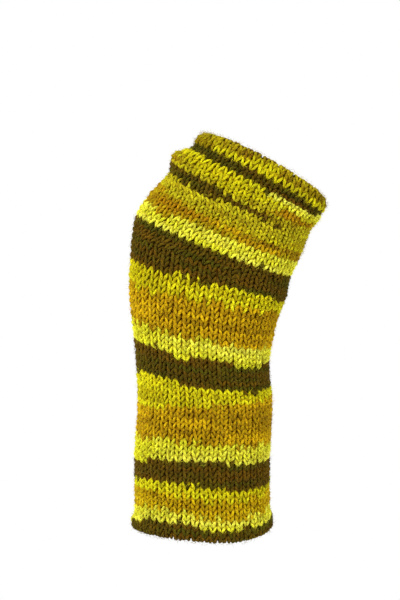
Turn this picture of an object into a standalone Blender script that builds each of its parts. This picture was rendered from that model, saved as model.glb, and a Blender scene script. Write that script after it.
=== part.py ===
"""A knitted wool hand warmer without fingers, as it stands on a raised right hand.

It is one tube of plain knitting, modelled as three lengths. The cuff goes straight up the forearm,
the palm widens, and the knuckles lean to the little-finger side. The thumb comes out of a gap on the
thumb side. The first and last rows curl into round edges.

Frame: metres, +Z up along the forearm, +X to the little-finger side, -Y out of the back of the
hand. The origin is the middle of the hollow at the wrist.
"""

import math

import bpy
import numpy as np

MM = 0.001

# The cloth: 42 stitches in a round, 5.1 mm wide and 3.2 mm high each at the cuff.
WALL = 3.0                # thickness of the cloth, in millimetres like every size below
SEAM_GAP = 0.3            # clear space between two pieces
TURN_STEP = 0.01          # how far to each side a slope is measured, round the tube
ROW_STEP = 0.4            # and along it, in rows
FACETS_ROUND = 48         # facets in one ring
ROWS_PER_RING = 3.2       # rows of knitting between two rings of the mesh

# The rings of the tube, from the wrist hem to the root of the finger roll.
#   row      the row of knitting that the ring follows, counted up from the wrist hem
#   x, y, z  the middle of the ring
#   width    across the hand, outside the cloth
#   depth    from the back of the hand to the palm, outside the cloth
#   lean     how far the little-finger side is down, in degrees
#   dip      how far the back of the hand is down, in degrees
#   arch     how far the middle of the back of the hand stands up, and that of the palm hangs
#   square   2 is an ellipse, more is squarer
RING_COLUMNS = ("row", "x", "y", "z", "width", "depth", "lean", "dip", "arch", "square")
RINGS = (
    (0.0, 0.3, 0.0, -101.9, 80.8, 57.0, -0.9, 3.5, 0.0, 2.10),
    (2.7, 0.4, 0.0, -93.5, 79.6, 57.0, -0.9, 2.5, 0.0, 2.10),
    (10.9, 0.3, 0.0, -69.0, 79.6, 56.5, -0.4, -0.5, 0.0, 2.10),
    (22.3, 2.0, 0.0, -33.0, 78.7, 55.0, 3.0, 0.5, 0.0, 2.10),
    (31.4, 0.2, 0.0, -5.9, 79.6, 53.5, 9.4, 2.0, 0.0, 2.10),
    (40.6, 0.9, 0.5, 22.4, 87.6, 52.5, 12.4, 2.0, 0.0, 2.15),
    (46.1, 4.0, 1.0, 40.2, 93.5, 51.0, 16.3, 1.5, 0.0, 2.20),
    (52.4, 7.0, 1.5, 57.7, 96.2, 49.0, 21.7, 0.0, 0.0, 2.25),
    (57.0, 14.4, 2.0, 70.7, 94.0, 47.5, 22.6, 0.0, 0.0, 2.25),
    (62.0, 21.1, 2.5, 81.1, 88.5, 46.0, 24.6, 0.0, 0.0, 2.25),
    (65.0, 23.7, 2.7, 88.3, 91.0, 46.5, 25.4, 0.0, 0.0, 2.25),
    (67.0, 26.0, 2.9, 91.9, 91.6, 46.0, 26.0, 0.0, 0.6, 2.25),
    (68.2, 30.3, 3.0, 94.1, 86.0, 44.0, 27.6, 0.0, 1.6, 2.25),
    (68.9, 31.5, 3.0, 94.6, 81.7, 42.6, 28.8, 0.0, 2.2, 2.25),
)
WRIST_ROW = 32.0          # the cuff ends and the palm starts here
PALM_ROW = 47.6           # the palm ends and the knuckles start here, just below the thumb gap
SEAM_HALF_ROWS = 0.08     # half the space between two lengths of tube, in rows

# The ball of the thumb pushes the palm side out.
THUMB_BALL = {"out": 3.5, "turn": -0.37, "turn_spread": 0.07, "row": 46.0, "row_spread": 8.0}

# The gap that the thumb comes out of. Turns are shares of the way round: 0 is the middle of the
# back of the hand, 0.25 the little-finger side, -0.25 the thumb side and 0.5 the palm.
THUMB_TURN = -0.316
THUMB_ROWS = (50.0, 61.6)
THUMB_HALF_WIDTH = 12.0
THUMB_EDGE_RADIUS = 1.5
THUMB_EDGE_SLACK = 0.2    # what the edge cord leaves beside it besides the seam gap
GAP_END = 0.999           # nearer its two ends than this the gap counts as closed

# The curled edges. Angles are in degrees round the roll's own section: 0 points out of the tube
# and 90 along it to the fingers. The bulge is what the roll gains over the back of the hand.
FINGER_ROLL = {"out": 5.9, "along": 6.3, "bulge": 2.1, "start": -50.0, "end": 225.0}
WRIST_ROLL = {"out": 4.2, "along": 4.2, "bulge": 0.3, "start": 60.0, "end": -205.0}
ROLL_FACETS = 9
ROLL_SEAM_GAP = 0.45      # measured along the tube, so that slanted ends keep the seam gap too

# Colours of the wool, as sRGB shares.
COLOURS = {
    "cuff_tube": (0.72, 0.62, 0.09),
    "palm_tube": (0.76, 0.68, 0.10),
    "knuckle_tube": (0.78, 0.73, 0.11),
    "finger_roll": (0.70, 0.62, 0.08),
    "wrist_roll": (0.27, 0.22, 0.06),
    "thumb_edge": (0.74, 0.68, 0.10),
}
WOOL_ROUGHNESS = 0.95


def clear_scene():
    """Removes whatever the file opened with."""
    for thing in list(bpy.data.objects):
        bpy.data.objects.remove(thing)


def ring_at(row):
    """The ring that follows a row, as a dictionary: smooth between the table's rings."""
    rows = [ring[0] for ring in RINGS]
    low = max(0, min(len(rows) - 2, int(np.searchsorted(rows, row, side="right")) - 1))
    span = rows[low + 1] - rows[low]
    t = (row - rows[low]) / span
    ring = {}
    for index, name in enumerate(RING_COLUMNS):
        start, end = RINGS[low][index], RINGS[low + 1][index]
        slope_start = column_slope(index, low) * span
        slope_end = column_slope(index, low + 1) * span
        ring[name] = (
            (2 * t**3 - 3 * t**2 + 1) * start
            + (t**3 - 2 * t**2 + t) * slope_start
            + (3 * t**2 - 2 * t**3) * end
            + (t**3 - t**2) * slope_end
        )
    return ring


def column_slope(index, at):
    """The change of one column per row at a table ring."""
    before = max(at - 1, 0)
    after = min(at + 1, len(RINGS) - 1)
    return (RINGS[after][index] - RINGS[before][index]) / (RINGS[after][0] - RINGS[before][0])


def section_point(ring, turn):
    """A point of a ring's outline, across and deep from its middle, evenly spaced by length."""
    angles = np.linspace(0.0, math.pi, 91)
    power = 2.0 / ring["square"]
    across = ring["width"] / 2 * np.abs(np.sin(angles)) ** power
    deep = -ring["depth"] / 2 * np.sign(np.cos(angles)) * np.abs(np.cos(angles)) ** power
    steps = np.hypot(np.diff(across), np.diff(deep))
    length = np.concatenate([[0.0], np.cumsum(steps)])
    turn = (turn + 0.5) % 1.0 - 0.5
    at = abs(turn) * 2 * length[-1]
    side = 1.0 if turn >= 0 else -1.0
    return side * float(np.interp(at, length, across)), float(np.interp(at, length, deep))


def ring_length(ring):
    """The length once round a ring."""
    a, b = ring["width"] / 2, ring["depth"] / 2
    flatness = ((a - b) / (a + b)) ** 2
    return math.pi * (a + b) * (1 + 3 * flatness / (10 + math.sqrt(4 - 3 * flatness)))


def ring_axes(ring):
    """Unit vectors across the ring, deep through it, and along the tube."""
    lean, dip = math.radians(ring["lean"]), math.radians(ring["dip"])
    across = np.array([math.cos(lean), 0.0, -math.sin(lean)])
    along = np.array([math.sin(lean), 0.0, math.cos(lean)])
    deep = np.array([0.0, math.cos(dip), 0.0]) + math.sin(dip) * along
    return across, deep, along


def skin_point(turn, row):
    """A point of the cloth's outer face."""
    ring = ring_at(row)
    across, deep, along = ring_axes(ring)
    x, y = section_point(ring, turn)
    rise = -ring["arch"] * 2 * y / ring["depth"]
    middle = np.array([ring["x"], ring["y"], ring["z"]])
    point = middle + x * across + y * deep + rise * along
    away = (turn - THUMB_BALL["turn"] + 0.5) % 1.0 - 0.5
    ball = THUMB_BALL["out"] * math.exp(
        -((away / THUMB_BALL["turn_spread"]) ** 2)
        - ((row - THUMB_BALL["row"]) / THUMB_BALL["row_spread"]) ** 2
    )
    outward = x * across + y * deep
    return point + ball * outward / np.linalg.norm(outward)


def skin_normal(turn, row):
    """The outward direction of the cloth's outer face."""
    first, last = RINGS[0][0], RINGS[-1][0]
    row_low, row_high = max(row - ROW_STEP, first), min(row + ROW_STEP, last)
    round_way = skin_point(turn + TURN_STEP, row) - skin_point(turn - TURN_STEP, row)
    up_way = skin_point(turn, row_high) - skin_point(turn, row_low)
    normal = np.cross(round_way, up_way)
    return normal / np.linalg.norm(normal)


def thumb_gap_half_turn(row):
    """Half the width of the thumb gap at a row, as a share of the way round."""
    low, high = THUMB_ROWS
    from_middle = (2 * row - low - high) / (high - low)
    if abs(from_middle) > GAP_END:
        return 0.0
    return THUMB_HALF_WIDTH * math.sqrt(1 - from_middle**2) / ring_length(ring_at(row))


def even_rows(low, high):
    """Rows for the mesh's rings between two rows, both among them."""
    count = max(1, round((high - low) / ROWS_PER_RING))
    return [low + (high - low) * i / count for i in range(count + 1)]


def thumb_gap_rows(count=8):
    """Rows across the thumb gap, closer at its round ends."""
    low, high = THUMB_ROWS
    return [(low + high) / 2 - (high - low) / 2 * math.cos(math.pi * i / count) for i in range(count + 1)]


def make_object(name, points, faces):
    """A named mesh object in its wool, from points in millimetres."""
    mesh = bpy.data.meshes.new(name)
    mesh.from_pydata([tuple(float(c) * MM for c in point) for point in points], [], faces)
    mesh.validate()
    made = bpy.data.objects.new(name, mesh)
    bpy.context.scene.collection.objects.link(made)
    mesh.materials.append(wool(name))
    mesh.shade_smooth()
    return made


def wool(name):
    """The wool of one piece."""
    material = bpy.data.materials.new("wool_" + name)
    material.use_nodes = True
    shader = material.node_tree.nodes["Principled BSDF"]
    linear = [share**2.2 for share in COLOURS[name]]
    shader.inputs["Base Color"].default_value = (*linear, 1.0)
    shader.inputs["Roughness"].default_value = WOOL_ROUGHNESS
    shader.inputs["Metallic"].default_value = 0.0
    return material


def make_tube(name, rows):
    """A length of the knitted tube: a wall between an outer and an inner skin, cut at the gap."""
    points = []
    outer, inner = [], []
    for row in rows:
        half_gap = thumb_gap_half_turn(row)
        facets = FACETS_ROUND + (1 if half_gap > 0 else 0)
        outer_ring, inner_ring = [], []
        for i in range(facets):
            turn = THUMB_TURN + half_gap + (1 - 2 * half_gap) * i / FACETS_ROUND
            skin = skin_point(turn, row)
            outer_ring.append(len(points))
            points.append(skin)
            inner_ring.append(len(points))
            points.append(skin - WALL * skin_normal(turn, row))
        if half_gap == 0:
            outer_ring.append(outer_ring[0])
            inner_ring.append(inner_ring[0])
        outer.append(outer_ring)
        inner.append(inner_ring)
    faces = []
    for low in range(len(rows) - 1):
        for i in range(FACETS_ROUND):
            faces.append((outer[low][i], outer[low][i + 1], outer[low + 1][i + 1], outer[low + 1][i]))
            faces.append((inner[low][i], inner[low + 1][i], inner[low + 1][i + 1], inner[low][i + 1]))
        if outer[low][0] != outer[low][-1] or outer[low + 1][0] != outer[low + 1][-1]:
            faces += gap_walls(outer, inner, low)
    for i in range(FACETS_ROUND):
        faces.append((outer[0][i], inner[0][i], inner[0][i + 1], outer[0][i + 1]))
        faces.append((outer[-1][i], outer[-1][i + 1], inner[-1][i + 1], inner[-1][i]))
    return make_object(name, points, faces)


def gap_walls(outer, inner, low):
    """The two cut faces of the wall beside the thumb gap, between two rings."""
    walls = []
    for side, flip in ((0, False), (-1, True)):
        loop = (outer[low][side], outer[low + 1][side], inner[low + 1][side], inner[low][side])
        walls.append(tuple(reversed(loop)) if flip else loop)
    return walls


def make_roll(name, row, roll, along_way):
    """A curled edge: the wall turned round on itself, with the roll's hollow inside it."""
    ring = ring_at(row)
    along = ring_axes(ring)[2]
    start, end = math.radians(roll["start"]), math.radians(roll["end"])
    points = []
    for i in range(FACETS_ROUND):
        turn = i / FACETS_ROUND
        root = skin_point(turn, row) + along_way * ROLL_SEAM_GAP * along
        _, y = section_point(ring, turn)
        ahead = skin_point(turn + TURN_STEP, row) - skin_point(turn - TURN_STEP, row)
        out = np.cross(ahead, along)
        out /= np.linalg.norm(out)
        size_along = roll["along"] + roll["bulge"] * max(0.0, -2 * y / ring["depth"]) ** 2
        centre = root - out * roll["out"] * math.cos(start) - along * size_along * math.sin(start)
        for wall in (0.0, WALL):
            for k in range(ROLL_FACETS + 1):
                angle = start + (end - start) * k / ROLL_FACETS
                reach_out = (roll["out"] - wall) * math.cos(angle)
                reach_along = (size_along - wall) * math.sin(angle)
                points.append(centre + out * reach_out + along * reach_along)
    side = ROLL_FACETS + 1
    loop = list(range(side)) + [2 * side - 1 - k for k in range(side)]
    faces = []
    for i in range(FACETS_ROUND):
        here = i * 2 * side
        there = (i + 1) % FACETS_ROUND * 2 * side
        for k in range(len(loop)):
            first, second = loop[k], loop[(k + 1) % len(loop)]
            face = (here + first, there + first, there + second, here + second)
            faces.append(face if along_way > 0 else tuple(reversed(face)))
    return make_object(name, points, faces)


def make_thumb_edge(steps=36, facets=8):
    """The edge stitches round the thumb gap: a cord just inside the cut."""
    inset = SEAM_GAP + THUMB_EDGE_RADIUS + THUMB_EDGE_SLACK
    low, high = THUMB_ROWS
    middle_row = (low + high) / 2
    row_length = np.linalg.norm(skin_point(THUMB_TURN, high) - skin_point(THUMB_TURN, low)) / (high - low)
    half_rows = (high - low) / 2 - inset / row_length
    spine, normals = [], []
    for i in range(steps):
        angle = 2 * math.pi * i / steps
        row = middle_row + half_rows * math.cos(angle)
        half_turn = (THUMB_HALF_WIDTH - inset) / ring_length(ring_at(row))
        turn = THUMB_TURN + half_turn * math.sin(angle)
        normal = skin_normal(turn, row)
        spine.append(skin_point(turn, row) - normal * WALL / 2)
        normals.append(normal)
    points = []
    for i in range(steps):
        ahead = spine[(i + 1) % steps] - spine[i - 1]
        ahead /= np.linalg.norm(ahead)
        aside = np.cross(normals[i], ahead)
        aside /= np.linalg.norm(aside)
        up = np.cross(ahead, aside)
        for k in range(facets):
            angle = 2 * math.pi * k / facets
            points.append(spine[i] + THUMB_EDGE_RADIUS * (math.cos(angle) * aside + math.sin(angle) * up))
    faces = []
    for i in range(steps):
        here, there = i * facets, (i + 1) % steps * facets
        for k in range(facets):
            after = (k + 1) % facets
            faces.append((here + k, here + after, there + after, there + k))
    return make_object("thumb_edge", points, faces)


def main():
    clear_scene()
    make_tube("cuff_tube", even_rows(RINGS[0][0], WRIST_ROW - SEAM_HALF_ROWS))
    make_tube("palm_tube", even_rows(WRIST_ROW + SEAM_HALF_ROWS, PALM_ROW - SEAM_HALF_ROWS))
    knuckle_rows = [PALM_ROW + SEAM_HALF_ROWS] + thumb_gap_rows()
    knuckle_rows += [ring[0] for ring in RINGS if ring[0] > THUMB_ROWS[1] + 1]
    make_tube("knuckle_tube", knuckle_rows)
    make_roll("wrist_roll", RINGS[0][0], WRIST_ROLL, -1)
    make_roll("finger_roll", RINGS[-1][0], FINGER_ROLL, 1)
    make_thumb_edge()


main()
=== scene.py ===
# %% [markdown]
# # A striped wool hand warmer, stitch by stitch
# The real object is one knitted tube. Its colour, its relief and its soft outline all come from
# the yarn, so this lesson doesn't paint a knit pattern on a smooth tube: it lays real loops of
# yarn on the tube's shape, dyes each loop, and adds the loose hairs of the wool.
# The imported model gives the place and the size, and stays hidden under the finished knitting.

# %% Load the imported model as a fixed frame
import math

import bpy
import numpy as np
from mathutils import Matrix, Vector
from mathutils.bvhtree import BVHTree


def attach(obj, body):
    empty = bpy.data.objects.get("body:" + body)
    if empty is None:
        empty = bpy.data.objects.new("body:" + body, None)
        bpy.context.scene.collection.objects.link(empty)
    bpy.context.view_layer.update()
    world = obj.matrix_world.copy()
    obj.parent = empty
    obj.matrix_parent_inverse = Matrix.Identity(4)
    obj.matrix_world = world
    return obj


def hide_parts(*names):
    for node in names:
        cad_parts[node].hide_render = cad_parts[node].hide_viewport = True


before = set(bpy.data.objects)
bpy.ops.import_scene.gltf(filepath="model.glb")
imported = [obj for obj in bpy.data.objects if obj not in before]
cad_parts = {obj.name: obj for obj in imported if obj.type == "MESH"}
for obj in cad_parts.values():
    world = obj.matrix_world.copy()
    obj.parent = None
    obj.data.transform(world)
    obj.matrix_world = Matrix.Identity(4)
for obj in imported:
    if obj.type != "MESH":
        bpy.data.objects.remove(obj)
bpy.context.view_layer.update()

MM = 0.001
print("CAD nodes:", sorted(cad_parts))

# %% [markdown]
# ## The shape of the tube
# A knitted tube is described best by its rows, because each row is one ring of yarn that leans
# and dips as the mitt is worn. This table has one line for each ring that matters, with its sizes
# in millimetres and its angles in degrees, and the rows between are smooth blends of these. The
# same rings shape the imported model, so the loops land on it without any fitting.

# %% The rings of the tube
# lean: how far the little-finger side is down.  dip: how far the mitt's back is down.
# arch: how far the middle of the back stands up.  square: 2 is an ellipse, more is squarer.
RING_COLUMNS = ("row", "x", "y", "z", "width", "depth", "lean", "dip", "arch", "square")
RINGS = np.array((
    (0.0, 0.3, 0.0, -101.9, 80.8, 57.0, -0.9, 3.5, 0.0, 2.10),
    (2.7, 0.4, 0.0, -93.5, 79.6, 57.0, -0.9, 2.5, 0.0, 2.10),
    (10.9, 0.3, 0.0, -69.0, 79.6, 56.5, -0.4, -0.5, 0.0, 2.10),
    (22.3, 2.0, 0.0, -33.0, 78.7, 55.0, 3.0, 0.5, 0.0, 2.10),
    (31.4, 0.2, 0.0, -5.9, 79.6, 53.5, 9.4, 2.0, 0.0, 2.10),
    (40.6, 0.9, 0.5, 22.4, 87.6, 52.5, 12.4, 2.0, 0.0, 2.15),
    (46.1, 4.0, 1.0, 40.2, 93.5, 51.0, 16.3, 1.5, 0.0, 2.20),
    (52.4, 7.0, 1.5, 57.7, 96.2, 49.0, 21.7, 0.0, 0.0, 2.25),
    (57.0, 14.4, 2.0, 70.7, 94.0, 47.5, 22.6, 0.0, 0.0, 2.25),
    (62.0, 21.1, 2.5, 81.1, 88.5, 46.0, 24.6, 0.0, 0.0, 2.25),
    (65.0, 23.7, 2.7, 88.3, 91.0, 46.5, 25.4, 0.0, 0.0, 2.25),
    (67.0, 26.0, 2.9, 91.9, 91.6, 46.0, 26.0, 0.0, 0.6, 2.25),
    (68.2, 30.3, 3.0, 94.1, 86.0, 44.0, 27.6, 0.0, 1.6, 2.25),
    (68.9, 31.5, 3.0, 94.6, 81.7, 42.6, 28.8, 0.0, 2.2, 2.25),
))
FIRST_ROW, LAST_ROW = RINGS[0, 0], RINGS[-1, 0]
column = {name: index for index, name in enumerate(RING_COLUMNS)}


def rings_at(rows):
    """The rings that follow these rows, one line of the table's columns for each row."""
    rows = np.asarray(rows, float)
    last = len(RINGS) - 1
    before = np.maximum(np.arange(last + 1) - 1, 0)
    after = np.minimum(np.arange(last + 1) + 1, last)
    slopes = (RINGS[after] - RINGS[before]) / (RINGS[after, :1] - RINGS[before, :1])
    low = np.clip(np.searchsorted(RINGS[:, 0], rows, side="right") - 1, 0, last - 1)
    span = (RINGS[low + 1, 0] - RINGS[low, 0])[:, None]
    t = (rows - RINGS[low, 0])[:, None] / span
    rings = (2 * t**3 - 3 * t**2 + 1) * RINGS[low] + (t**3 - 2 * t**2 + t) * slopes[low] * span
    rings += (3 * t**2 - 2 * t**3) * RINGS[low + 1] + (t**3 - t**2) * slopes[low + 1] * span
    return rings


print("Ring at the wrist, row 32:", dict(zip(RING_COLUMNS, np.round(rings_at([32.0])[0], 1).tolist())))

# %% [markdown]
# A turn says where on a ring a point lies: 0 is the middle of the mitt's back, 0.25 the
# little-finger side, -0.25 the thumb side and 0.5 the palm. Points are spaced by length along
# the ring, because every stitch of a row is equally wide. An ellipse alone looks too lean at
# its sides, so each ring is a slightly squarer one, with a soft swelling below the thumb gap.

# %% Points of the cloth's outer face
# The swelling stands this many mm out, at this turn and row, and fades over these spreads.
THUMB_BALL = {"out": 3.5, "turn": -0.37, "turn_spread": 0.07, "row": 46.0, "row_spread": 8.0}
OUTLINE_STEPS = 181       # points that measure half a ring
TURN_STEP = 0.01          # a short way to both sides, to see which way a ring runs


def unit(vectors):
    """These vectors, one unit long each."""
    return vectors / np.linalg.norm(vectors, axis=-1, keepdims=True)


def outline(ring, turns):
    """Points of one ring, across it and deep through it, at these turns."""
    angles = np.linspace(0.0, math.pi, OUTLINE_STEPS)
    power = 2.0 / ring[column["square"]]
    across = ring[column["width"]] / 2 * np.abs(np.sin(angles)) ** power
    deep = -ring[column["depth"]] / 2 * np.sign(np.cos(angles)) * np.abs(np.cos(angles)) ** power
    length = np.concatenate([[0.0], np.cumsum(np.hypot(np.diff(across), np.diff(deep)))])
    turns = (np.asarray(turns) + 0.5) % 1.0 - 0.5
    at = np.abs(turns) * 2 * length[-1]
    return np.where(turns >= 0, 1.0, -1.0) * np.interp(at, length, across), np.interp(at, length, deep)


def ring_axes(ring):
    """Unit vectors across the ring, deep through it, and along the tube."""
    lean, dip = math.radians(ring[column["lean"]]), math.radians(ring[column["dip"]])
    across = np.array([math.cos(lean), 0.0, -math.sin(lean)])
    along = np.array([math.sin(lean), 0.0, math.cos(lean)])
    deep = np.array([0.0, math.cos(dip), 0.0]) + math.sin(dip) * along
    return across, deep, along


def skin_ring(row, turns):
    """Points of the cloth's outer face along one row."""
    ring = rings_at([row])[0]
    across, deep, along = ring_axes(ring)
    x, y = outline(ring, turns)
    outward = x[:, None] * across + y[:, None] * deep
    rise = -ring[column["arch"]] * 2 * y / ring[column["depth"]]
    away = (turns - THUMB_BALL["turn"] + 0.5) % 1.0 - 0.5
    ball = THUMB_BALL["out"] * np.exp(
        -((away / THUMB_BALL["turn_spread"]) ** 2)
        - ((row - THUMB_BALL["row"]) / THUMB_BALL["row_spread"]) ** 2
    )
    middle = ring[[column["x"], column["y"], column["z"]]]
    return middle + outward + rise[:, None] * along + ball[:, None] * unit(outward)


wrist = skin_ring(FIRST_ROW, np.array([0.0, 0.5]))
print("front and palm side of the wrist ring, mm:", np.round(wrist, 1).tolist())

# %% [markdown]
# The real mitt's edges are never flat: plain knitting curls, so the first rows roll into a thin
# round hem and the last rows into a thick soft edge. Each roll is an arc that starts at the tube's
# end and turns through about three quarters of a circle. A separate ring would end the rows
# where it begins, so here the cloth itself goes on round the arc, as the real one does.

# %% The curled edges
# Sizes out from the tube and along it, in mm. An angle of 0 points out, 90 towards the fingers.
FINGER_ROLL = {"row": LAST_ROW, "out": 5.9, "along": 6.3, "bulge": 2.1, "start": -50.0, "end": 225.0}
WRIST_ROLL = {"row": FIRST_ROW, "out": 4.2, "along": 4.2, "bulge": 0.3, "start": 60.0, "end": -205.0}
ROLL_SEAM_GAP = 0.45      # mm from the tube's last ring to the start of the arc
CLOTH_MIDDLE = 1.75       # from the cloth's outer face to the middle of its yarn, in mm
ROLL_STEPS = 60           # points along an arc


def roll_lines(roll, turns, toward_fingers):
    """The middle of a curled edge's cloth: one arc of points for each turn."""
    ring = rings_at([roll["row"]])[0]
    along = ring_axes(ring)[2]
    root = skin_ring(roll["row"], turns) + toward_fingers * ROLL_SEAM_GAP * along
    ahead = skin_ring(roll["row"], turns + TURN_STEP) - skin_ring(roll["row"], turns - TURN_STEP)
    out = unit(np.cross(ahead, along))
    _, y = outline(ring, turns)
    size_along = roll["along"] + roll["bulge"] * np.maximum(0.0, -2 * y / ring[column["depth"]]) ** 2
    start = math.radians(roll["start"])
    centre = root - out * roll["out"] * math.cos(start) - along * size_along[:, None] * math.sin(start)
    arcs = []
    for angle in np.radians(np.linspace(roll["start"], roll["end"], ROLL_STEPS)):
        reach_out = (roll["out"] - CLOTH_MIDDLE) * math.cos(angle)
        reach_along = (size_along - CLOTH_MIDDLE) * math.sin(angle)
        arcs.append(centre + out * reach_out + along * reach_along[:, None])
    return np.array(arcs)


rolled = roll_lines(FINGER_ROLL, np.array([0.0, 0.5]), 1)
print("finger roll's height at back and palm, mm:", np.round(np.ptp(rolled[:, :, 2], axis=0), 1).tolist())

# %% [markdown]
# ## One map from stitches to space
# Knitting is a grid of rows and columns, and a column of stitches is called a wale. A single grid
# of points, from the inside of the wrist roll to the inside of the finger roll, turns any row and
# any share of the way round into a point and a direction out of the cloth. Everything made later,
# yarn, hairs and edge stitches, asks this one map, so all of it follows the same folds. A flat
# knit wrapped round by modifiers would stretch wherever the tube widens or curls.

# %% Lines of cloth from roll to roll
WALES = 42                # 42 stitches round, about 5.2 mm each at the cuff
THUMB_TURN = -0.316       # the middle of the thumb gap, where the map's columns start
WRIST_ROLL_ROWS = 4.6     # rows that the wrist roll takes up
FINGER_ROLL_ROWS = 8.6    # rows that the finger roll takes up
MAP_ROW_STEP = 0.25       # rows from one line of the map to the next
MAP_COLUMNS = WALES * 4   # four points for each stitch


def surface_normals(points):
    """The direction out of the cloth at each point of a grid that is closed round its columns."""
    round_way = np.roll(points, -1, axis=1) - np.roll(points, 1, axis=1)
    return unit(np.cross(round_way, np.gradient(points, axis=0)))


def rows_of_arc(arc, count):
    """Row numbers along arcs of points, 0 at the first point and count at the last, by length."""
    steps = np.linalg.norm(np.diff(arc, axis=0), axis=2)
    length = np.concatenate([np.zeros((1, arc.shape[1])), np.cumsum(steps, axis=0)])
    return length / length[-1] * count


map_turns = THUMB_TURN + np.arange(MAP_COLUMNS) / MAP_COLUMNS
body_rows = np.arange(FIRST_ROW, LAST_ROW, MAP_ROW_STEP)
skin = np.array([skin_ring(row, map_turns) for row in body_rows])
body_middle = skin - CLOTH_MIDDLE * surface_normals(skin)
finger_arc = np.concatenate([body_middle[-1:], roll_lines(FINGER_ROLL, map_turns, 1)])
wrist_arc = np.concatenate([body_middle[:1], roll_lines(WRIST_ROLL, map_turns, -1)])
line_points = np.concatenate([wrist_arc[:0:-1], body_middle, finger_arc[1:]])
line_rows = np.concatenate([
    FIRST_ROW - rows_of_arc(wrist_arc, WRIST_ROLL_ROWS)[:0:-1],
    np.repeat(body_rows[:, None], MAP_COLUMNS, axis=1),
    body_rows[-1] + rows_of_arc(finger_arc, FINGER_ROLL_ROWS)[1:],
])
print("lines of cloth:", line_points.shape[1], "with", line_points.shape[0], "points each")

# %% [markdown]
# The lines are read at even steps of a quarter of a row, which makes the map a plain grid, and a
# little smoothing takes away the crease where a roll begins. The soft hem of the real mitt isn't
# level: it dips and rises twice on its way round. That wave fades out a few rows above the hem.

# %% Fill the map and wave the hem
MAP_SMOOTHING = 4         # passes
HEM_WAVE = 1.7            # mm that the hem dips and rises
HEM_WAVE_ROWS = (2.0, 7.0)    # the wave is whole up to the first of these rows, and gone at the second


def eased(share):
    """A share from 0 to 1 that starts and ends gently."""
    share = np.clip(share, 0, 1)
    return share * share * (3 - 2 * share)


map_rows = np.arange(FIRST_ROW - WRIST_ROLL_ROWS, body_rows[-1] + FINGER_ROLL_ROWS, MAP_ROW_STEP)
cloth = np.empty((len(map_rows), MAP_COLUMNS, 3))
for j in range(MAP_COLUMNS):
    for axis in range(3):
        cloth[:, j, axis] = np.interp(map_rows, line_rows[:, j], line_points[:, j, axis])
fade = eased((HEM_WAVE_ROWS[1] - map_rows) / (HEM_WAVE_ROWS[1] - HEM_WAVE_ROWS[0]))
cloth[:, :, 2] -= HEM_WAVE * fade[:, None] * np.sin(4 * math.pi * map_turns)
for _ in range(MAP_SMOOTHING):
    cloth[1:-1] = (cloth[:-2] + 2 * cloth[1:-1] + cloth[2:]) / 4
cloth_out = surface_normals(cloth)
print("cloth map:", cloth.shape[0], "by", cloth.shape[1], "points, rows", map_rows[0], "to", map_rows[-1])

# %% [markdown]
# ## The thumb gap
# The knitter leaves a slit open for the thumb, and it stretches to a rounded lens. Cutting a hole
# into a finished mesh would cut through stitches. Instead the rows beside the gap are squeezed a
# little, so that whole stitches end at its edge, and the map only has to know how wide it is.

# %% The width of the thumb gap at every row
THUMB_ROWS = (50.0, 61.6)
THUMB_HALF_WIDTH = 12.0   # mm

rings = rings_at(np.clip(map_rows, FIRST_ROW, LAST_ROW))
half_widths, half_depths = rings[:, column["width"]] / 2, rings[:, column["depth"]] / 2
ring_lengths = math.pi * np.sqrt(2 * (half_widths**2 + half_depths**2))
from_gap_middle = (2 * map_rows - sum(THUMB_ROWS)) / (THUMB_ROWS[1] - THUMB_ROWS[0])
gap_half_turns = THUMB_HALF_WIDTH * np.sqrt(np.clip(1 - from_gap_middle**2, 0, None)) / ring_lengths
print("widest thumb gap: %.1f mm" % (2 * np.max(gap_half_turns * ring_lengths)))

# %% [markdown]
# One function reads the map between its points. Where the tube shifts sideways into the finger
# roll, its columns drift aside with it, or the stitches there would be sheared flat. The last
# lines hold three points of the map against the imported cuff: they have to lie on its outer face.

# %% Read the map between its points
DRIFT_ROWS = (66.3, 69.2)    # where the tube shifts sideways
DRIFT_COS, DRIFT_SIN = -0.018, 0.012    # turns that the wales drift there
LAST_STEP = len(map_rows) - 1.001    # just short of the last line, so that there is one above


def between(grid, up, across):
    """The grid's values this many steps up it and round it."""
    i, j = np.floor(up).astype(int), np.floor(across).astype(int)
    u, v = (up - i)[..., None], (across - j)[..., None]
    left, right = j % MAP_COLUMNS, (j + 1) % MAP_COLUMNS
    low = grid[i, left] * (1 - v) + grid[i, right] * v
    high = grid[i + 1, left] * (1 - v) + grid[i + 1, right] * v
    return low * (1 - u) + high * u


def on_cloth(rows, shares, height=0.0):
    """Points of the cloth and the directions out of it. A share of 0 is one side of the thumb
    gap, or of the line that it lies on, and 1 is its other side, once round the mitt."""
    gap = np.interp(rows, map_rows, gap_half_turns)
    turns = gap + (1 - 2 * gap) * shares
    angles = 2 * math.pi * (turns + THUMB_TURN)
    drift = eased((rows - DRIFT_ROWS[0]) / (DRIFT_ROWS[1] - DRIFT_ROWS[0]))
    drift = drift * (DRIFT_COS * np.cos(angles) + DRIFT_SIN * np.sin(angles))
    across = (turns + drift) * MAP_COLUMNS
    up = np.clip((rows - map_rows[0]) / MAP_ROW_STEP, 0, LAST_STEP)
    normals = unit(between(cloth_out, up, across))
    return between(cloth, up, across) + normals * np.asarray(height)[..., None], normals


cad_tree = BVHTree.FromObject(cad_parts["cuff_tube"], bpy.context.evaluated_depsgraph_get())
probe, _ = on_cloth(np.array([5.0, 15.0, 25.0]), np.array([0.2, 0.5, 0.8]), CLOTH_MIDDLE)
misses = [cad_tree.find_nearest(Vector(point * MM))[3] / MM for point in probe]
print("cloth map to the CAD cuff's outer face, mm:", [round(miss, 2) for miss in misses])

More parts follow.
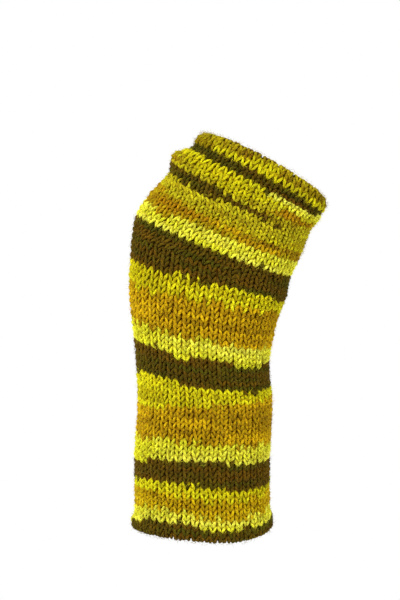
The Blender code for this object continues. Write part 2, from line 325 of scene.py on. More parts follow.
# %% [markdown]
# ## The dyes
# The real yarn is hand-dyed wool that changes colour along its length, and no dye is one flat
# colour: each streaks from its main shade into a duller or browner one. A painted texture could
# hold them, but a small table is easier to match to the real wool and to change. Colours are sRGB
# hex values, as a colour picker shows them, and one function turns them to linear light.

# %% Colours of the dyed wool
def linear(hex_colour):
    """An sRGB hex colour as linear red, green and blue."""
    shares = [int(hex_colour[i:i + 2], 16) / 255 for i in (1, 3, 5)]
    return np.array([s / 12.92 if s <= 0.04045 else ((s + 0.055) / 1.055) ** 2.4 for s in shares])


# Each dye has its main shade, the shade that it streaks into, how much of that shows, and the
# painted shade of the matted wool behind the loops: how light it is drawn beside them.
DYES = {
    "olive": ("#4C4709", "#624708", 1.0, 1.6),
    "pale": ("#E4E24A", "#D6D424", 1.0, 0.5),
    "lime": ("#D6D016", "#BCB008", 0.9, 0.5),
    "straw": ("#CCC41C", "#A09010", 1.1, 0.4),
    "honey": ("#D2B60C", "#AA8A04", 1.0, 0.45),
    "ochre": ("#CCA80C", "#A07E08", 1.0, 0.45),
    "amber": ("#A87E08", "#A8960A", 1.0, 0.4),
    "gold": ("#C8BE14", "#987A0A", 1.1, 0.4),
    "moss": ("#AA9C0E", "#7A5E08", 1.15, 0.45),
    "bronze": ("#988806", "#7C6404", 1.0, 0.5),
}
print("dyes:", len(DYES), "and the palest in linear light:", np.round(linear(DYES["pale"][0]), 2).tolist())

# %% [markdown]
# ## The stripes
# A stripe is just the rows that one stretch of colour lasts for. Its edges step up or down by a
# row where the colour starts in the middle of a round, so straight bands would look printed. The
# stripes are charted as a knitter would: the row where each ends, at eight turns.

# %% The stripes, from the wrist roll to the finger roll
STRIPE_TURNS = (-0.25, -0.12, -0.06, 0.0, 0.05, 0.12, 0.25, 0.5)
STRIPES = (
    # dye, and the row where it ends at each of those turns
    ("olive", -1.2, 0.9, 1.0, -0.1, -0.9, 0.1, -0.6, 0.4),
    ("pale", 2.3, 3.2, 3.1, 2.2, 1.9, 1.8, 2.0, 2.6),
    ("honey", 6.4, 6.4, 6.2, 5.0, 4.9, 5.0, 5.4, 5.2),
    ("lime", 7.7, 8.5, 8.2, 7.8, 7.2, 6.4, 7.0, 7.4),
    ("olive", 11.2, 12.4, 12.9, 12.1, 12.0, 11.9, 11.6, 12.4),
    ("pale", 15.7, 16.2, 15.9, 15.6, 15.3, 15.0, 15.0, 16.0),
    ("ochre", 21.4, 21.8, 22.4, 23.1, 23.4, 23.6, 24.2, 23.0),
    ("lime", 26.8, 27.3, 26.8, 26.8, 26.4, 25.9, 26.6, 26.4),
    ("olive", 32.4, 33.0, 31.6, 32.8, 32.4, 31.6, 32.5, 32.4),
    ("pale", 36.2, 36.2, 35.8, 36.2, 35.9, 35.6, 35.6, 36.4),
    ("ochre", 42.0, 42.3, 42.6, 42.9, 43.0, 43.2, 43.0, 42.6),
    ("lime", 45.9, 45.7, 46.0, 45.9, 46.3, 46.2, 45.6, 46.0),
    ("olive", 52.4, 52.8, 52.8, 52.6, 52.7, 53.0, 52.6, 52.6),
    ("pale", 55.0, 55.2, 55.6, 55.5, 55.4, 55.4, 55.2, 55.4),
    ("amber", 58.8, 57.4, 56.8, 56.0, 55.4, 55.4, 55.2, 58.4),
    ("ochre", 59.2, 57.4, 57.2, 57.4, 57.0, 56.4, 55.4, 58.4),
    ("gold", 59.2, 58.0, 59.0, 59.0, 58.6, 59.0, 59.6, 60.0),
    ("straw", 62.0, 61.9, 62.0, 62.2, 62.0, 61.9, 63.4, 62.2),
    ("olive", 64.6, 64.2, 64.1, 63.6, 63.3, 62.4, 63.4, 63.4),
    ("straw", 64.6, 64.2, 64.1, 63.6, 63.3, 64.4, 64.4, 63.4),
    ("amber", 64.6, 64.2, 64.1, 63.6, 63.3, 66.8, 64.4, 63.4),
    ("gold", 66.6, 65.0, 64.1, 63.7, 63.4, 66.8, 66.0, 66.6),
    ("straw", 68.2, 65.8, 64.6, 64.4, 66.0, 66.8, 66.0, 67.0),
    ("lime", 68.6, 68.7, 68.6, 68.4, 68.0, 66.9, 66.0, 67.0),
    ("pale", 68.6, 68.7, 68.6, 68.4, 68.0, 68.4, 69.4, 68.6),
    ("olive", 70.4, 70.4, 70.4, 70.4, 70.4, 70.4, 70.4, 70.4),
    ("lime", 70.4, 71.3, 71.9, 72.3, 72.0, 71.6, 71.4, 71.6),
    ("bronze", 74.0, 71.3, 71.9, 72.3, 72.0, 71.6, 75.0, 71.6),
    ("moss", 90.0, 90.0, 90.0, 90.0, 90.0, 90.0, 90.0, 90.0),
)
print("stripes:", len(STRIPES), "with steps in their edges at", len(STRIPE_TURNS), "turns")

# %% [markdown]
# ## Streaks and flecks
# Streaks of a dye's second shade last for some stitches and flecks for less than one. Both are
# smooth random values along one long yarn, read from a table of knots. The table is seeded, so
# the mitt is the same in every run, and it follows the yarn round by round as real dye does.

# %% Random values along the yarn
STREAK_KNOTS = 12000
STREAK_STITCHES = 6.0     # a streak of one shade lasts for about this many stitches
FLECK_STITCHES = 0.45     # and a fleck of it for about this many
random = np.random.default_rng(7)
streak_knots = random.random(STREAK_KNOTS)


def along_yarn(stitches, spacing):
    """A random share from 0 to 1 that changes smoothly along the yarn, measured in stitches."""
    at = stitches / spacing
    low = np.floor(at).astype(int)
    t = eased(at - low)
    return streak_knots[low % STREAK_KNOTS] * (1 - t) + streak_knots[(low + 1) % STREAK_KNOTS] * t


print("streaks over five stitches:", np.round(along_yarn(np.arange(5.0), STREAK_STITCHES), 2).tolist())

# %% [markdown]
# Now any place on the yarn has its colour: the chart gives the dye, a streak gives the shade, and
# the depth of colour wanders a little too. Where two light stripes meet, their dyes fleck into
# each other over about a row, while the dark ones start and stop sharply.

# %% The colour at any place on the yarn
EDGE_ROWS = {"olive": 0.3, "light": 1.2}    # rows over which one dye flecks into the next
STREAK_WEIGHT, FLECK_WEIGHT, SHADE_START = 1.2, 0.6, 0.4    # how both add up to the second shade
TONE_SPREAD = 0.45        # the depth of colour varies by this share along the yarn
PAINTED_GAP_TINT = np.array((1.9, 1.25, 0.8))    # painted light: the wool between the loops is drawn redder, as light that has sunk through wool comes back redder
ROWS_AHEAD = 10.0         # rows of yarn before row 0, so that every place on it is positive
FLECK_SHIFT, EDGE_SHIFT, TONE_SHIFT = 0.5, 300.0, 700.0    # stitches on, where other knots are read
shade_main = np.array([linear(dye[0]) for dye in DYES.values()])
shade_streak = np.array([linear(dye[1]) for dye in DYES.values()])
streak_share = np.array([dye[2] for dye in DYES.values()])
painted_gap_shade = np.array([dye[3] for dye in DYES.values()])
dye_order = {name: index for index, name in enumerate(DYES)}
stripe_dye = np.array([dye_order[stripe[0]] for stripe in STRIPES])
stripe_ends = np.array([(stripe[-1], *stripe[1:]) for stripe in STRIPES])
turn_table = np.concatenate([[-0.5], STRIPE_TURNS])
beside_olive = (stripe_dye[:-1] == dye_order["olive"]) | (stripe_dye[1:] == dye_order["olive"])
softer_by = np.where(beside_olive, 0.0, EDGE_ROWS["light"] - EDGE_ROWS["olive"])


def yarn_dye(rows, shares, behind=False):
    """The linear colour of the yarn in these whole rows, at these shares of the way round, or of
    the matted wool behind it, drawn in painted shade and a redder painted light."""
    rows, shares = np.broadcast_arrays(rows, shares)
    turns = (THUMB_TURN + shares + 0.5) % 1.0 - 0.5
    place = (rows + ROWS_AHEAD + shares) * WALES
    wander = along_yarn(place + EDGE_SHIFT, FLECK_STITCHES) - 0.5
    ends = np.array([np.interp(turns, turn_table, line) for line in stripe_ends])
    widths = np.diff(ends, axis=0, prepend=ends[:1] - 1.0)
    room = np.clip(np.minimum(widths[:-1], widths[1:]), 0, 1)
    softness = EDGE_ROWS["olive"] + softer_by.reshape(-1, *[1] * turns.ndim) * room
    dye = stripe_dye[np.sum(rows + softness * wander >= ends[:-1], axis=0)]
    streak = along_yarn(place, STREAK_STITCHES)
    fleck = along_yarn(place + FLECK_SHIFT, FLECK_STITCHES)
    second = np.clip(STREAK_WEIGHT * streak + FLECK_WEIGHT * fleck - SHADE_START, 0, 1)
    second = (second * streak_share[dye])[..., None]
    tone = 1 + TONE_SPREAD * (along_yarn(place + TONE_SHIFT, FLECK_STITCHES) - 0.5)[..., None]
    colour = (shade_main[dye] * (1 - second) + shade_streak[dye] * second) * tone
    # painted shade and painted redder light for the wool seen between the loops
    return colour * painted_gap_shade[dye][..., None] * PAINTED_GAP_TINT if behind else colour


print("row 9 at the mitt's back, linear:", np.round(yarn_dye(np.array([9.0]), np.array([0.3])), 3).tolist())

# %% [markdown]
# ## Woollen yarn as a material
# Worsted wool is three plies twisted together. The light sinks between its hairs, so it has next
# to no gloss, a soft sheen at grazing angles and small changes of tone from hair to hair. The dye,
# with painted shade and light in it, comes from the stitches as an attribute, so the shader only
# adds what is finer than a stitch: the plies as slanted ridges with painted shade in their grooves, and a
# heather of light hairs and darker, browner ones.

# %% One helper for shader nodes
def add_node(tree, kind, values=None, links=None, **settings):
    """Adds a node, sets its options and its inputs' values, and links inputs from other sockets."""
    made = tree.nodes.new(kind)
    for name, value in settings.items():
        setattr(made, name, value)
    for socket, value in (values or {}).items():
        made.inputs[socket].default_value = value
    for socket, source in (links or {}).items():
        tree.links.new(source, made.inputs[socket])
    return made


# %% Dyed wool of any kind
WOOL_IOR = 1.55           # keratin
SHEEN_TINT = "#FFED89"    # fuzz sends back a pale yellow where light skims it
SHEEN_ROUGHNESS = 0.5


def dyed_wool(name, roughness, gloss, sheen):
    """A wool material, and the socket that gives the colour of its dye, painted shade and light included.
    """
    material = bpy.data.materials.new(name)
    material.use_nodes = True
    shader = material.node_tree.nodes["Principled BSDF"]
    shader.inputs["Roughness"].default_value = roughness
    shader.inputs["IOR"].default_value = WOOL_IOR
    shader.inputs["Specular IOR Level"].default_value = gloss
    shader.inputs["Sheen Weight"].default_value = sheen
    shader.inputs["Sheen Roughness"].default_value = SHEEN_ROUGHNESS
    shader.inputs["Sheen Tint"].default_value = (*linear(SHEEN_TINT), 1.0)
    dye = add_node(material.node_tree, "ShaderNodeAttribute", attribute_name="dye")
    return material, dye.outputs["Color"]


# %% [markdown]
# The plies are a sine wave across the yarn's own UV places, slanted by the twist, so they turn
# with every loop. The two noises are measured in millimetres on the object: one for tufts, which
# also shifts their hue, and a finer one for the strands that roughen the surface.

# %% Spun wool
STRIPS = 24               # strips of yarn in one UV map, so that each has its own place
STRIP_USED = 0.94         # share of a strip's height that the yarn takes
PLIES = 3
STITCH_YARN = 17.0        # mm of yarn in one stitch
PLY_LAY = 9.0             # mm along the yarn for one full twist
RIDGE_DEPTH = 0.1         # mm that the plies stand up
GROOVE_WAVE = (-1.0, 0.4)    # the part of the plies' wave that lies in the grooves
GROOVE_SHADE = 0.9        # painted shade: how light the dye is drawn at the bottom of a groove
TUFT = 0.9                # mm across one tuft of lighter or darker hairs
TUFT_NOISE = (0.36, 0.64)    # the noise at the darkest and at the lightest tufts
TUFT_DARK = (0.68, 0.56, 0.42)    # what it does to the dye: the darkest tufts are also the brownest
TUFT_LIGHT = (1.16, 1.27, 1.3)
STRAND = 0.225            # mm across one strand, several real hairs wide so that it shows
STRAND_HEIGHT = 0.6       # of the ridges' height


def make_spun_wool():
    """Three-ply wool: next to no gloss, a soft sheen, plies as ridges, and hairs of uneven tone."""
    material, dye = dyed_wool("spun_wool", roughness=0.95, gloss=0.04, sheen=0.06)
    tree = material.node_tree
    shader = tree.nodes["Principled BSDF"]
    place = add_node(tree, "ShaderNodeUVMap", uv_map="OFBake")
    twist = (WALES * STITCH_YARN / PLY_LAY * PLIES, STRIPS / STRIP_USED * PLIES, 0.0)
    phase = add_node(tree, "ShaderNodeVectorMath", {1: [2 * math.pi * part for part in twist]},
                     {0: place.outputs["UV"]}, operation="DOT_PRODUCT")
    ridge = add_node(tree, "ShaderNodeMath", {}, {0: phase.outputs["Value"]}, operation="SINE")
    groove = add_node(tree, "ShaderNodeMapRange",
                      {"From Min": GROOVE_WAVE[0], "From Max": GROOVE_WAVE[1], "To Min": GROOVE_SHADE},
                      {"Value": ridge.outputs["Value"]})
    where = add_node(tree, "ShaderNodeTexCoord")
    tufts = add_node(tree, "ShaderNodeTexNoise", {"Scale": 1 / (TUFT * MM), "Detail": 3.0},
                     {"Vector": where.outputs["Object"]})
    strands = add_node(tree, "ShaderNodeTexNoise", {"Scale": 1 / (STRAND * MM), "Detail": 2.0},
                       {"Vector": where.outputs["Object"]})
    # Set to vectors, a Map Range has its value at socket 6, from at 7 and 8, and to at 9 and 10.
    heather = add_node(tree, "ShaderNodeMapRange",
                       {7: TUFT_NOISE[:1] * 3, 8: TUFT_NOISE[1:] * 3, 9: TUFT_DARK, 10: TUFT_LIGHT},
                       {6: tufts.outputs["Fac"]}, data_type="FLOAT_VECTOR")
    mixed = add_node(tree, "ShaderNodeVectorMath", {},
                     {0: dye, 1: heather.outputs["Vector"]}, operation="MULTIPLY")
    # painted shade: the dye is drawn darker in the grooves between the plies
    colour = add_node(tree, "ShaderNodeVectorMath", {},
                      {0: mixed.outputs["Vector"], "Scale": groove.outputs["Result"]}, operation="SCALE")
    relief = add_node(tree, "ShaderNodeMath", {1: STRAND_HEIGHT},
                      {0: strands.outputs["Fac"], 2: ridge.outputs["Value"]}, operation="MULTIPLY_ADD")
    bump = add_node(tree, "ShaderNodeBump", {"Strength": 0.5, "Distance": RIDGE_DEPTH * MM},
                    {"Height": relief.outputs["Value"]})
    tree.links.new(colour.outputs["Vector"], shader.inputs["Base Color"])
    tree.links.new(bump.outputs["Normal"], shader.inputs["Normal"])
    return material


spun_wool = make_spun_wool()
print("wool:", len(spun_wool.node_tree.nodes), "nodes, plies", round(PLY_LAY / PLIES, 1), "mm apart")

# %% [markdown]
# ## From arrays to meshes
# Thousands of loops would be slow as single objects, so each band of rows becomes one mesh that is
# filled straight from arrays: its corners, its four-sided faces, its UV places and its dye.

# %% A mesh from arrays
def make_mesh(name, points, faces, material, dye=None, uv=None):
    """One smooth mesh object on the body root, from points in mm and faces of equal size."""
    mesh = bpy.data.meshes.new(name)
    sides = faces.shape[1]
    mesh.vertices.add(len(points))
    mesh.vertices.foreach_set("co", (points * MM).astype(np.float32).ravel())
    mesh.loops.add(faces.size)
    mesh.loops.foreach_set("vertex_index", faces.astype(np.int32).ravel())
    mesh.polygons.add(len(faces))
    mesh.polygons.foreach_set("loop_start", np.arange(0, faces.size, sides, dtype=np.int32))
    if uv is not None:
        layer = mesh.uv_layers.new(name="OFBake")
        layer.data.foreach_set("uv", uv.astype(np.float32).ravel())
    if dye is not None:
        layer = mesh.color_attributes.new("dye", "FLOAT_COLOR", "POINT")
        layer.data.foreach_set("color", np.c_[dye, np.ones(len(dye))].astype(np.float32).ravel())
    mesh.update(calc_edges=True)
    mesh.validate()
    mesh.shade_smooth()
    mesh.materials.append(material)
    made = bpy.data.objects.new(name, mesh)
    bpy.context.scene.collection.objects.link(made)
    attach(made, "root")
    print(name, len(faces) * (sides - 2), "triangles")
    return made


# %% [markdown]
# ## The yarn's path
# In plain knitting each stitch is a loop whose two legs show on the outside as a V, while its head
# and its feet pass behind the rows above and below. One formula draws it: along the row the yarn
# swings forwards and back with sin 2t, up the cloth it goes as cos t, and out of the cloth with
# the fourth power of sin t, which stands the legs up and lays heads and feet back. A bump map of
# Vs would be quicker, but flat where the mitt's outline shows the loops from the side. Hand
# knitting isn't even, so each stitch leans, swells and sits a little differently.

# %% Loops of yarn
LOOP_STEPS = 16           # segments of yarn in one stitch
LOOP_SWING = 1.62         # how far the legs swing: more makes the V wider at its top
LOOP_PINCH = 0.12         # how far both legs are drawn to the middle of their stitch
LOOP_RISE = 1.12          # half the height of a loop, in rows
LOOP_DEPTH = 1.15         # how far legs stand out and heads lie back, in mm
YARN_DRAWN = 0.66         # heads and feet are drawn thinner, to this share
HIDDEN_SHADE = np.array((0.60, 0.44, 0.28))    # painted shade: heads and feet are drawn darker and browner, for light that reaches them only through dyed fuzz
ROLL_RELIEF = ((-4, 0, 69, 71), (0.5, 1.0, 1.0, 0.65))    # rows, and the relief there: rolls are flatter
# How much stitches differ: in wales, in rows, in mm out of the cloth, and as a share of girth.
TENSION = {"aside": 0.05, "row": 0.07, "height": 0.18, "girth": 0.08}
path_t = np.linspace(-math.pi, math.pi, LOOP_STEPS, endpoint=False)


def yarn_rows(rows):
    """The yarn's line along each of these rows: points, directions out, girth, and dye with painted shade.
    """
    count = len(rows)
    shape = (count, WALES, 1)
    aside = TENSION["aside"] * random.standard_normal(shape)
    lift = TENSION["row"] * random.standard_normal(shape)
    height = TENSION["height"] * random.standard_normal(shape)
    relief = np.interp(rows, ROLL_RELIEF[0], ROLL_RELIEF[1])[:, None, None]
    girth = TENSION["girth"] * random.standard_normal(shape)
    t = path_t[None, None, :]
    wale = np.arange(WALES)[None, :, None] + 0.5
    swing = (t + LOOP_SWING * np.sin(2 * t) - LOOP_PINCH * np.sin(t)) / (2 * math.pi)
    legs = np.sin(t) ** 2
    row = rows[:, None, None] + LOOP_RISE * np.cos(t) + lift * legs
    out = relief * LOOP_DEPTH * (2 * legs**2 - 1) + height * legs
    size = (YARN_DRAWN + (1 - YARN_DRAWN) * legs) * (1 + girth * legs)
    # painted shade: heads and feet lie back, so their dye is drawn darker and browner
    painted_depth_shade = HIDDEN_SHADE + (1 - HIDDEN_SHADE) * legs[..., None] ** 2
    colour = yarn_dye(rows[:, None, None], (wale + t / (2 * math.pi)) / WALES) * painted_depth_shade

    def closed(values):
        flat = values.reshape(count, WALES * LOOP_STEPS, *values.shape[3:])
        return np.concatenate([flat, flat[:, :1]], axis=1)

    share = closed(wale + swing + aside * legs) / WALES
    share[:, -1] += 1.0
    points, normals = on_cloth(closed(row), share, closed(out))
    return points, normals, closed(size), closed(colour)


print("one loop:", LOOP_STEPS, "segments, legs out and heads back by", LOOP_DEPTH, "mm")

# %% [markdown]
# ## Round yarn along a path
# A curve with a bevel would make the yarn round as well, but it gives no say over girth and dye at
# each point. Here a ring of corners is set round every point of the path, a bit thicker out of the
# cloth than across it. Each line of yarn also gets a strip of its own in the UV map, where the
# plies are drawn and where the colours can be baked.

# %% Corners, faces and UV places of round yarn
YARN_SIDES = 7            # corners round the yarn
YARN_ACROSS = 0.84        # the yarn's half width where it shows, in mm
YARN_THICK = 0.95         # and its half thickness


def yarn_body(points, normals, size, across, thick):
    """Corners and faces of yarn round lines of points, from its girth and both half sizes."""
    ahead = unit(np.gradient(points, axis=1))
    side = unit(np.cross(ahead, normals))
    up = np.cross(side, ahead)
    angles = 2 * math.pi * np.arange(YARN_SIDES)[:, None] / YARN_SIDES
    ring = across * np.cos(angles) * side[:, :, None] + thick * np.sin(angles) * up[:, :, None]
    corners = points[:, :, None] + size[:, :, None, None] * ring
    index = np.arange(corners[..., 0].size).reshape(corners.shape[:3])
    after = np.roll(index, -1, axis=2)
    faces = np.stack([index[:, :-1], after[:, :-1], after[:, 1:], index[:, 1:]], axis=-1)
    return corners.reshape(-1, 3), faces.reshape(-1, 4)


def yarn_places(count, steps, length):
    """UV places of the faces of this many lines of yarn. A whole length is the map's full width."""
    i, j, k = np.indices((count, steps, YARN_SIDES))[..., None]
    u = (j + np.array([0, 0, 1, 1])) / length + (i // STRIPS) * 0.5
    v = (i % STRIPS + STRIP_USED * (k + np.array([0, 1, 1, 0])) / YARN_SIDES) / STRIPS
    return np.stack([u, v], axis=-1).reshape(-1, 2)


def yarn_band(name, rows):
    """One mesh of all the yarn in these rows."""
    points, normals, size, colour = yarn_rows(rows)
    corners, faces = yarn_body(points, normals, size, YARN_ACROSS, YARN_THICK)
    steps = WALES * LOOP_STEPS
    # the dye with the loops' painted shade, for every corner of the yarn
    dye = np.repeat(colour.reshape(-1, 3), YARN_SIDES, axis=0)
    return make_mesh(name, corners, faces, spun_wool, dye, yarn_places(len(rows), steps, steps))


# %% [markdown]
# The rows are shared out among seven meshes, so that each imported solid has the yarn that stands
# for it and none gets too heavy. A band's yarn ties in with the next one's without a seam.

# %% Bands of yarn, from the wrist roll to the finger roll
BANDS = (
    # name, first row, row after its last, material slot, the CAD nodes that it stands for
    ("yarn_wrist_roll", -4, 0, "wool_wrist_roll", ("wrist_roll",)),
    ("yarn_cuff_lower", 0, 16, "wool_cloth", ("cuff_tube",)),
    ("yarn_cuff_upper", 16, 32, "wool_cloth", ("cuff_tube",)),
    ("yarn_palm", 32, 48, "wool_cloth", ("palm_tube",)),
    ("yarn_knuckles_lower", 48, 59, "wool_cloth", ("knuckle_tube",)),
    ("yarn_knuckles_upper", 59, 69, "wool_cloth", ("knuckle_tube",)),
    ("yarn_finger_roll", 69, 77, "wool_finger_roll", ("finger_roll",)),
)
for name, first, after_last, slot, nodes in BANDS:
    band = yarn_band(name, np.arange(first, after_last, dtype=float))
    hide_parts(*nodes)

# %% [markdown]
# ## The edge of the thumb gap
# Where the knitter leaves a gap for the thumb, the rows stop and turn back, and their end stitches
# form a neat chain. A rolled tube round the gap would look like piping, so the chain is drawn link
# by link: single loops that lie on the cloth one after the other, all round the gap's outline.

# %% Chain of edge stitches
EDGE_LINKS = 30           # links once round the gap
EDGE_INSET = (0.1, 0.6)    # rows and mm that the chain's middle lies inside the gap's outline
LINK_REACH = 0.81         # half a link's length, in links, so that each one overlaps the next
LINK_WIDTH = 1.5          # mm from the chain's middle line to a link's side
LINK_SWING = 1.6          # how far its legs swing
LINK_DEPTH = 0.7          # how far they stand out and its ends lie back, in mm
LINK_HALF_SIZES = (1.0, 0.9)    # its yarn's half width and half thickness, in mm
ROWS_TO_MM = 0.35         # rows in a millimetre, for the links at the gap's two ends
BESIDE_GAP = 0.001        # the share of the way round that lies just beside the gap


def edge_chain():
    """The chain of end stitches round the thumb gap."""
    middle, half_rows = sum(THUMB_ROWS) / 2, (THUMB_ROWS[1] - THUMB_ROWS[0]) / 2
    t = np.linspace(-math.pi, math.pi, LOOP_STEPS + 1)
    place = 2 * math.pi * (np.arange(EDGE_LINKS)[:, None] + LINK_REACH * np.cos(t)) / EDGE_LINKS
    beside = LINK_WIDTH * (t + LINK_SWING * np.sin(2 * t)) / math.pi
    row = middle + (half_rows - EDGE_INSET[0]) * np.cos(place)
    length = np.interp(row, map_rows, ring_lengths)
    turn = (THUMB_HALF_WIDTH - EDGE_INSET[1] + beside) * np.sin(place) / length
    across = (turn * MAP_COLUMNS) % MAP_COLUMNS
    up = (row + ROWS_TO_MM * beside * np.cos(place) - map_rows[0]) / MAP_ROW_STEP
    normals = cloth_out[up.astype(int), across.astype(int)]
    points = between(cloth, up, across) - normals * (LINK_DEPTH * np.cos(2 * t))[:, None]
    corners, faces = yarn_body(points, normals, np.ones(row.shape), *LINK_HALF_SIZES)
    at_end = LOOP_STEPS // 2
    share = np.where(np.sin(place[:, at_end]) >= 0, BESIDE_GAP, 1 - BESIDE_GAP)
    dye = np.repeat(yarn_dye(np.round(row[:, at_end]), share), t.size * YARN_SIDES, axis=0)
    uv = yarn_places(EDGE_LINKS, LOOP_STEPS, WALES * t.size)
    return make_mesh("yarn_thumb_edge", corners, faces, spun_wool, dye, uv)


thumb_edge = edge_chain()
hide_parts("thumb_edge")

# %% [markdown]
# ## The felted ground
# Wool mats a little with wear, so no light comes through between the loops. Thicker yarn would
# close those gaps too, but then the stitches would look swollen. A thin sheet at the middle of the
# cloth does it instead. It is the cloth itself as far as cutting goes: 42 stitches wide and 81
# rows long.

# %% A thin sheet between the loops
GROUND_TOP, GROUND_UNDER = -0.5, -0.9     # mm from the middle of the yarn
GROUND_COLUMNS = WALES * 2
GROUND_ROWS = (-4, 77)    # from the inside of the wrist roll to the inside of the finger roll
ROUND_END = 0.9999        # the last share of a round, before the yarn climbs into the next one


def ground_sheet():
    """The matted wool in the middle of the cloth: one thin closed sheet, its dye in painted shade."""
    rows = np.arange(GROUND_ROWS[0], GROUND_ROWS[1] + 1, dtype=float)
    shares = np.linspace(0.0, 1.0, GROUND_COLUMNS + 1)
    grid_rows, grid_shares = np.meshgrid(rows, shares, indexing="ij")
    top, _ = on_cloth(grid_rows, grid_shares, np.full(grid_rows.shape, GROUND_TOP))
    under, _ = on_cloth(grid_rows, grid_shares, np.full(grid_rows.shape, GROUND_UNDER))
    a = np.arange(grid_rows.size).reshape(grid_rows.shape)    # corners of the outer face
    b = a + a.size                                            # and those of the inner one below
    faces = np.concatenate([
        np.stack([a[:-1, :-1], a[:-1, 1:], a[1:, 1:], a[1:, :-1]], -1).reshape(-1, 4),
        np.stack([b[:-1, :-1], b[1:, :-1], b[1:, 1:], b[:-1, 1:]], -1).reshape(-1, 4),
        np.stack([a[0, 1:], a[0, :-1], b[0, :-1], b[0, 1:]], -1),
        np.stack([a[-1, :-1], a[-1, 1:], b[-1, 1:], b[-1, :-1]], -1),
        np.stack([a[:-1, 0], a[1:, 0], b[1:, 0], b[:-1, 0]], -1),
        np.stack([a[1:, -1], a[:-1, -1], b[:-1, -1], b[1:, -1]], -1),
    ])
    # painted shade and light: the sheet takes the dye darkened, or lightened for olive, and drawn redder
    # where it shows between the loops
    dye = yarn_dye(np.floor(grid_rows), np.clip(grid_shares, 0, ROUND_END), behind=True).reshape(-1, 3)
    points = np.concatenate([top.reshape(-1, 3), under.reshape(-1, 3)])
    made = make_mesh("felted_ground", points, faces, spun_wool, np.r_[dye, dye])
    cell_width = np.linalg.norm(np.diff(top, axis=1), axis=2)[:-1]
    cell_height = np.linalg.norm(np.diff(top, axis=0), axis=2)[:, :-1]
    print("cloth area: %.4f square metres" % (np.sum(cell_width * cell_height) * MM * MM))
    return made


ground = ground_sheet()

# %% [markdown]
# ## Loose hairs
# Close up, wool has a halo: hairs stand off the yarn and catch the light, most of all against the
# background. A particle system grows hair too, but it isn't a mesh and would be lost in an export.
# So each hair is a very thin curved strip of two segments, rooted on the outer face of the yarn
# and coloured like the stitch that it grows from, with painted light added. All are one mesh, with a cell
# of the UV map each.
# A single hair is smoother than spun yarn, so it keeps a little gloss, and shows no plies.

# %% The wool of a single hair
hair_wool, hair_dye = dyed_wool("loose_wool_hair", roughness=0.7, gloss=0.1, sheen=0.1)
hair_shader = hair_wool.node_tree.nodes["Principled BSDF"]
hair_wool.node_tree.links.new(hair_dye, hair_shader.inputs["Base Color"])
print("hair's wool:", len(hair_wool.node_tree.nodes), "nodes")

# %% The halo of hairs
HAIRS = 36000
HAIR_ROWS = (-3.2, 76.2)    # rows that hairs grow from
HAIR_ROOT = 0.5           # how far up the yarn's half thickness they are rooted
HAIR_LEAN = (0.15, 1.0)    # from lying almost flat to standing up at 45 degrees
HAIR_LENGTH = (1.4, 4.5)  # mm
HAIR_SHORTEST = 0.4       # worn hairs are down to this share of it
HAIR_WIDTH = 0.10         # mm, about four times the real hair, so that it shows at this size
HAIR_TAPER = 0.8          # its width half-way along, before it runs out to a point
HAIR_CURL = 0.8           # how far its outer half bends away
HAIR_DRAW = 0.3           # how much of that bend goes on the way that it leans
HAIR_LIGHTER = 1.15       # painted light: a hair is drawn this much lighter, as light also comes through it
HAIR_GLINT = linear("#302B16")    # painted glint: light caught by bare hairs, added to their colour; it shows on dark wool
HAIR_GRID = 190           # hairs lie in this many rows and columns of cells in their UV map
HAIR_UV = np.array(((0.1, 0.1), (0.9, 0.1), (0.9, 0.5), (0.1, 0.5), (0.5, 0.9)))    # a hair in its cell
HAIR_FACES = ([0, 1, 2], [0, 2, 3], [3, 2, 4])    # corners of its three faces


def wool_hairs():
    """All the loose hairs as one mesh of thin strips."""
    rows = random.uniform(*HAIR_ROWS, HAIRS)
    shares = random.uniform(0.0, 1.0, HAIRS)
    root, out = on_cloth(rows, shares, np.full(HAIRS, LOOP_DEPTH + HAIR_ROOT * YARN_THICK))
    aside = unit(np.cross(out, random.standard_normal((HAIRS, 3))))
    way = unit(aside + random.uniform(*HAIR_LEAN, HAIRS)[:, None] * out)
    length = random.uniform(*HAIR_LENGTH, HAIRS)[:, None]
    length = length * (HAIR_SHORTEST + (1 - HAIR_SHORTEST) * random.random(HAIRS)[:, None])
    bend = unit(random.standard_normal((HAIRS, 3)) + HAIR_DRAW * aside)
    middle = root + 0.5 * length * way
    tip = middle + 0.5 * length * unit(way + HAIR_CURL * bend)
    width = HAIR_WIDTH / 2 * unit(np.cross(way, bend))
    half_way = HAIR_TAPER * width
    points = np.stack([root - width, root + width, middle + half_way, middle - half_way, tip], axis=1)
    numbers = np.arange(HAIRS)
    faces = np.concatenate([numbers[:, None] * len(HAIR_UV) + corners for corners in HAIR_FACES])
    cells = np.stack([numbers % HAIR_GRID, numbers // HAIR_GRID], axis=1)[:, None, :]
    uv = np.concatenate([(cells + HAIR_UV[corners]) / HAIR_GRID for corners in HAIR_FACES])
    # painted light: each hair is drawn lighter than its stitch, with a painted glint added
    dye = yarn_dye(np.round(rows), shares) * HAIR_LIGHTER + HAIR_GLINT
    dye = np.repeat(dye, len(HAIR_UV), axis=0)
    points = points.reshape(-1, 3)
    return make_mesh("wool_hairs", points, faces, hair_wool, dye, uv.reshape(-1, 2))


hairs = wool_hairs()

# %% [markdown]
# ## The cloth's cut
# A knitted tube has no cutting plan, but it has a flat size: 42 stitches of 5.2 mm round, and 81
# rows of about 3.2 mm from one curled edge to the other.

# %% [markdown]
# ## A floor for the light
# A studio table of white paper throws light back up from below. Here a wide pale floor does that.
# It lies well under the picture, because a worn mitt is held up, far above any table.

# %% The pale floor
FLOOR_Z = -0.45           # metres, as is its radius
FLOOR_RADIUS = 0.8
FLOOR_CORNERS = 96
FLOOR_PAPER = "#F9F9F9"


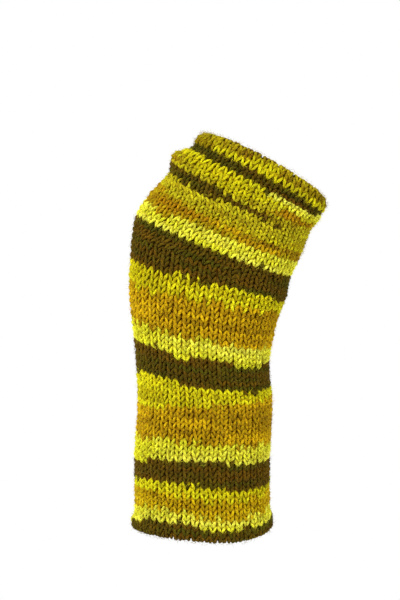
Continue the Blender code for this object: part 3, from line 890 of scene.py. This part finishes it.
def make_floor():
    """A pale round floor, wide enough for its light and small enough to stay under the picture."""
    mesh = bpy.data.meshes.new("floor")
    angles = 2 * math.pi * np.arange(FLOOR_CORNERS) / FLOOR_CORNERS
    corners = [(FLOOR_RADIUS * math.cos(a), FLOOR_RADIUS * math.sin(a), FLOOR_Z) for a in angles]
    mesh.from_pydata(corners, [], [tuple(range(FLOOR_CORNERS))])
    floor = bpy.data.objects.new("floor", mesh)
    bpy.context.scene.collection.objects.link(floor)
    paint = bpy.data.materials.new("white_paper")
    paint.use_nodes = True
    shader = paint.node_tree.nodes["Principled BSDF"]
    shader.inputs["Base Color"].default_value = (*linear(FLOOR_PAPER), 1.0)
    shader.inputs["Roughness"].default_value = 0.9
    mesh.materials.append(paint)


make_floor()
print("floor: %.1f m across, %.2f m below the wrist" % (2 * FLOOR_RADIUS, -FLOOR_Z))

# %% [markdown]
# ## The light of a white tent
# The light is that of a studio tent: bright from all round, so the shadows stay soft and open. Of
# its four lamps the key is in front at the upper left and gives the stitches their shape. A wide,
# weaker fill at the right opens their shadows, a small rim lamp brightens the left edge, and a soft
# one behind lights the palm side. The world is white where it is seen and much dimmer as light.

# %% Lamps and tent
LIGHTS = (
    # name, place in metres, size in metres, watts
    ("key", (-0.8, -1.0, 1.3), 0.5, 38.0),
    ("fill", (1.3, -0.7, 0.2), 0.9, 15.0),
    ("rim", (-1.1, 0.1, 0.3), 0.5, 5.0),
    ("back", (0.5, 1.3, 0.5), 0.9, 14.0),
)
AIM = Vector((0.01, 0.0, 0.0))
for name, place, size, watts in LIGHTS:
    lamp = bpy.data.lights.new(name, "AREA")
    lamp.shape = "DISK"
    lamp.size = size
    lamp.energy = watts
    holder = bpy.data.objects.new(name, lamp)
    holder.location = place
    holder.rotation_euler = (AIM - Vector(place)).to_track_quat("-Z", "Y").to_euler()
    bpy.context.scene.collection.objects.link(holder)
TENT_LIGHT = 0.22         # the tent's light on the wool, as a share of the white that it shows
world = bpy.data.worlds.new("tent")
world.use_nodes = True
ray = add_node(world.node_tree, "ShaderNodeLightPath")
strength = add_node(world.node_tree, "ShaderNodeMapRange", {"To Min": TENT_LIGHT},
                    {"Value": ray.outputs["Is Camera Ray"]})
background = world.node_tree.nodes["Background"]
background.inputs["Color"].default_value = (1.0, 1.0, 1.0, 1.0)
world.node_tree.links.new(strength.outputs["Result"], background.inputs["Strength"])
bpy.context.scene.world = world
bpy.context.scene.view_settings.view_transform = "Standard"
print("lamps:", len(LIGHTS), "with", sum(light[3] for light in LIGHTS), "watts in all")

# %% [markdown]
# ## The camera
# It has the photograph's viewing angle: 1.2 m away and 9.5 degrees above the mitt, with a long
# lens, so that the rows sag towards the viewer just a little.

# %% Camera
CAMERA_DISTANCE = 1.2     # metres
CAMERA_ELEVATION = math.radians(9.5)
CAMERA_TARGET = Vector((-0.0009, 0.0, 0.026))
SEEN_HEIGHT = 0.348       # metres that the picture's height covers at the target
camera = bpy.data.cameras.new("camera")
camera.sensor_fit = "VERTICAL"
camera.lens = camera.sensor_height * CAMERA_DISTANCE / SEEN_HEIGHT
viewer = bpy.data.objects.new("camera", camera)
toward = Vector((0.0, -math.cos(CAMERA_ELEVATION), math.sin(CAMERA_ELEVATION)))
viewer.location = CAMERA_TARGET + CAMERA_DISTANCE * toward
viewer.rotation_euler = (-toward).to_track_quat("-Z", "Y").to_euler()
bpy.context.scene.collection.objects.link(viewer)
bpy.context.scene.camera = viewer
print("lens: %.1f mm" % camera.lens)

# %% [markdown]
# ## Finish
# The dressed mitt keeps the size of the imported model, give or take the nap of the wool.

# %% Finish
bpy.context.view_layer.update()
